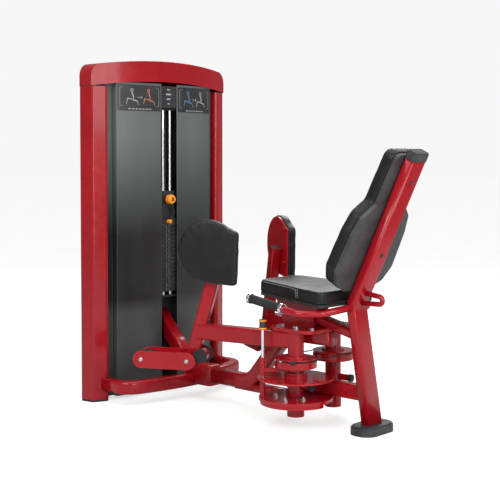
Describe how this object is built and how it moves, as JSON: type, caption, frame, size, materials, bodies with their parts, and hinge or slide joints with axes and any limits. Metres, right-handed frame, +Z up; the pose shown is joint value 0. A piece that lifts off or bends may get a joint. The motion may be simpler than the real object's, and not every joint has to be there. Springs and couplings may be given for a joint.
{
  "type": "hip abductor machine",
  "caption": "Selectorised seated hip machine: weight tower, two mirrored swinging thigh arms with pads and foot bars, angled seat, backrest and hand grips on a bent rear post.",
  "frame": {"origin": "on the floor, under the middle of the machine's footprint box, in its middle plane", "axes": "+X from the tower towards the seat, +Y across the machine towards the user's right, +Z up"},
  "size_m": [1.5321, 0.822, 1.477],
  "materials": {
    "red_paint": "gloss",
    "charcoal_shroud": "gloss",
    "placard": "satin",
    "black_frame": "satin",
    "chrome": "polished",
    "black_rubber": "matte",
    "stack_iron": "satin",
    "knob_orange": "gloss",
    "cord": "satin",
    "dark_plastic": "matte",
    "steel": "brushed",
    "vinyl": "satin",
    "board": "matte",
    "grey_shell": "satin"
  },
  "bodies": {
    "frame": {"tower_post_left": "red_paint", "tower_post_right": "red_paint", "tower_cap": "red_paint", "shroud_front_left": "charcoal_shroud", "shroud_front_right": "charcoal_shroud", "shroud_rear": "charcoal_shroud", "placard_left": "placard", "placard_right": "placard", "slot_label": "placard", "upper_frame": "black_frame", "stack_riser": "black_frame", "guide_rods": "chrome", "stack_bumpers": "black_rubber", "weight_plates": "stack_iron", "sheave_axles": "steel", "lift_cable": "cord", "base_frame": "red_paint", "tower_feet": "black_rubber", "low_plate": "red_paint", "stop_post": "red_paint", "frame_bolts": "steel", "pivot_shafts": "steel", "top_plate": "red_paint", "rear_spine": "red_paint", "rear_post": "red_paint", "post_cap": "dark_plastic", "rear_foot": "dark_plastic", "rear_handle": "red_paint", "seat_column": "red_paint", "seat_board": "board", "seat_pad": "vinyl", "back_shell": "grey_shell", "back_pad": "vinyl", "handle_bars": "red_paint", "hand_grips": "black_rubber", "grip_collars": "chrome", "link_cable": "cord"},
    "left_arm": {"arm_left": "red_paint", "pad_plate_left": "red_paint", "thigh_pad_left": "vinyl", "foot_bars_left": "red_paint", "leg_caps_left": "black_rubber"},
    "right_arm": {"arm_right": "red_paint", "pad_plate_right": "red_paint", "thigh_pad_right": "vinyl", "foot_bars_right": "red_paint", "leg_caps_right": "black_rubber"},
    "drive": {"drive_disc": "red_paint", "cam_left": "red_paint"},
    "right_cam": {"cam_right": "red_paint"},
    "carriage": {"head_block": "stack_iron", "lanyard": "cord"},
    "pin": {"selector_pin": "knob_orange"},
    "knob": {"increment_knob": "knob_orange"},
    "upper_wheel": {"top_sheave": "dark_plastic"},
    "lower_wheel": {"low_sheave": "dark_plastic"},
    "plunger": {"plunger_rod": "chrome", "plunger_knob": "dark_plastic"},
    "left_roller": {"foot_roller_left": "black_rubber"},
    "right_roller": {"foot_roller_right": "black_rubber"}
  },
  "joints": [
    {"name": "exercise_turn", "type": "hinge", "parent": "frame", "child": "drive", "pos_m": [0.258, -0.118, 0.2], "axis": [0, 0, -1], "range_deg": [0, 19]},
    {"name": "right_cam_turn", "type": "hinge", "parent": "frame", "child": "right_cam", "pos_m": [0.258, 0.118, 0.2], "axis": [0, 0, 1], "range_deg": [0, 19]},
    {"name": "left_start", "type": "hinge", "parent": "drive", "child": "left_arm", "pos_m": [0.258, -0.118, 0.3], "axis": [0, 0, 1], "range_deg": [0, 36]},
    {"name": "right_start", "type": "hinge", "parent": "right_cam", "child": "right_arm", "pos_m": [0.258, 0.118, 0.3], "axis": [0, 0, -1], "range_deg": [0, 36]},
    {"name": "stack_lift", "type": "slide", "parent": "frame", "child": "carriage", "axis": [0, 0, 1], "range_m": [0, 0.05]},
    {"name": "selector_pull", "type": "slide", "parent": "carriage", "child": "pin", "axis": [1, 0, 0], "range_m": [0, 0.06]},
    {"name": "increment_turn", "type": "hinge", "parent": "carriage", "child": "knob", "pos_m": [-0.587, 0, 0.863], "axis": [1, 0, 0], "range_deg": [-120, 120]},
    {"name": "upper_wheel_turn", "type": "hinge", "parent": "frame", "child": "upper_wheel", "pos_m": [-0.665, 0, 1.3], "axis": [0, -1, 0], "range_deg": [-90, 90]},
    {"name": "lower_wheel_turn", "type": "hinge", "parent": "frame", "child": "lower_wheel", "pos_m": [-0.665, 0, 0.175], "axis": [0, 1, 0], "range_deg": [-90, 90]},
    {"name": "start_plunger_pull", "type": "slide", "parent": "left_arm", "child": "plunger", "axis": [0, 0, 1], "range_m": [0, 0.02]},
    {"name": "left_roller_spin", "type": "hinge", "parent": "left_arm", "child": "left_roller", "pos_m": [-0.37057, -0.34211, 0.222], "axis": [-0.4695, 0.8829, 0], "continuous": true},
    {"name": "right_roller_spin", "type": "hinge", "parent": "right_arm", "child": "right_roller", "pos_m": [-0.37057, 0.34211, 0.222], "axis": [-0.4695, -0.8829, 0], "continuous": true}
  ],
  "couplings": [
    {"joint": "right_cam_turn", "follows": "exercise_turn", "ratio": 1},
    {"joint": "stack_lift", "follows": "exercise_turn", "m_per_rad": 0.145},
    {"joint": "upper_wheel_turn", "follows": "exercise_turn", "ratio": 2.7885},
    {"joint": "lower_wheel_turn", "follows": "exercise_turn", "ratio": 2.7885},
    {"joint": "right_start", "follows": "left_start", "ratio": 1}
  ]
}
